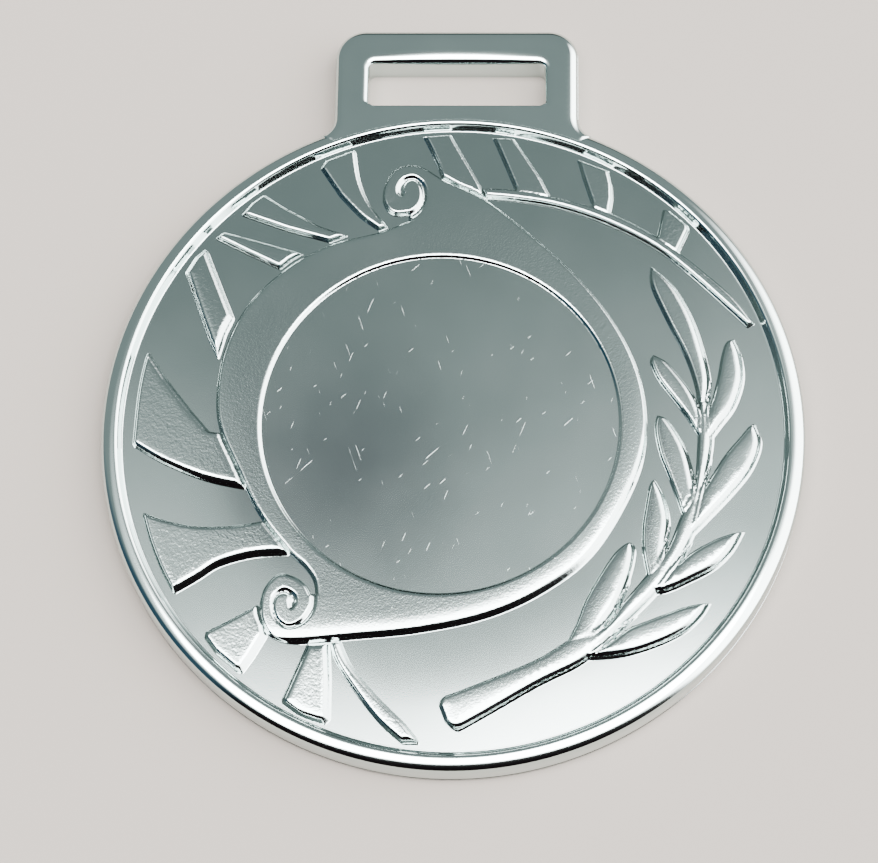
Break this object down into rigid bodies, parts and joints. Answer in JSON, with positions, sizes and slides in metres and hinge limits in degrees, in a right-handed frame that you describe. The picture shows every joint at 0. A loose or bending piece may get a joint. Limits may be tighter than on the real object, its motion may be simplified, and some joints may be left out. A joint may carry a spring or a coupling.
{
  "type": "award medal",
  "caption": "Round silver-coloured award medal with a raised rim, slotted ribbon loop, plain centre emblem seat, scrolled sunburst ring and olive branch in relief.",
  "frame": {"origin": "centre of the round disc on its flat back, where the medal rests", "axes": "+Z out of the decorated face, +Y towards the ribbon loop, +X to the right seen from the face"},
  "size_m": [0.05, 0.0566, 0.0025],
  "materials": {
    "field_metal": "satin plated",
    "rim_metal": "satin plated",
    "seat_metal": "satin plated, finely scratched",
    "relief_metal": "grained relief, satin plated"
  },
  "bodies": {
    "root": {"disc": "field_metal", "rim": "rim_metal", "ribbon_loop": "rim_metal", "emblem_seat": "seat_metal", "scroll_ring": "relief_metal", "comb_band": "relief_metal", "ray_01": "relief_metal", "ray_02": "relief_metal", "ray_03": "relief_metal", "ray_04": "relief_metal", "ray_05": "relief_metal", "ray_06": "relief_metal", "ray_07": "relief_metal", "ray_08": "relief_metal", "ray_09": "relief_metal", "ray_10": "relief_metal", "ray_11": "relief_metal", "ray_12": "relief_metal", "ray_13": "relief_metal", "branch_stem": "relief_metal", "leaf_1": "relief_metal", "leaf_2": "relief_metal", "leaf_3": "relief_metal", "leaf_4": "relief_metal", "leaf_5": "relief_metal", "leaf_6": "relief_metal", "leaf_7": "relief_metal", "leaf_8": "relief_metal", "leaf_9": "relief_metal"}
  },
  "joints": []
}
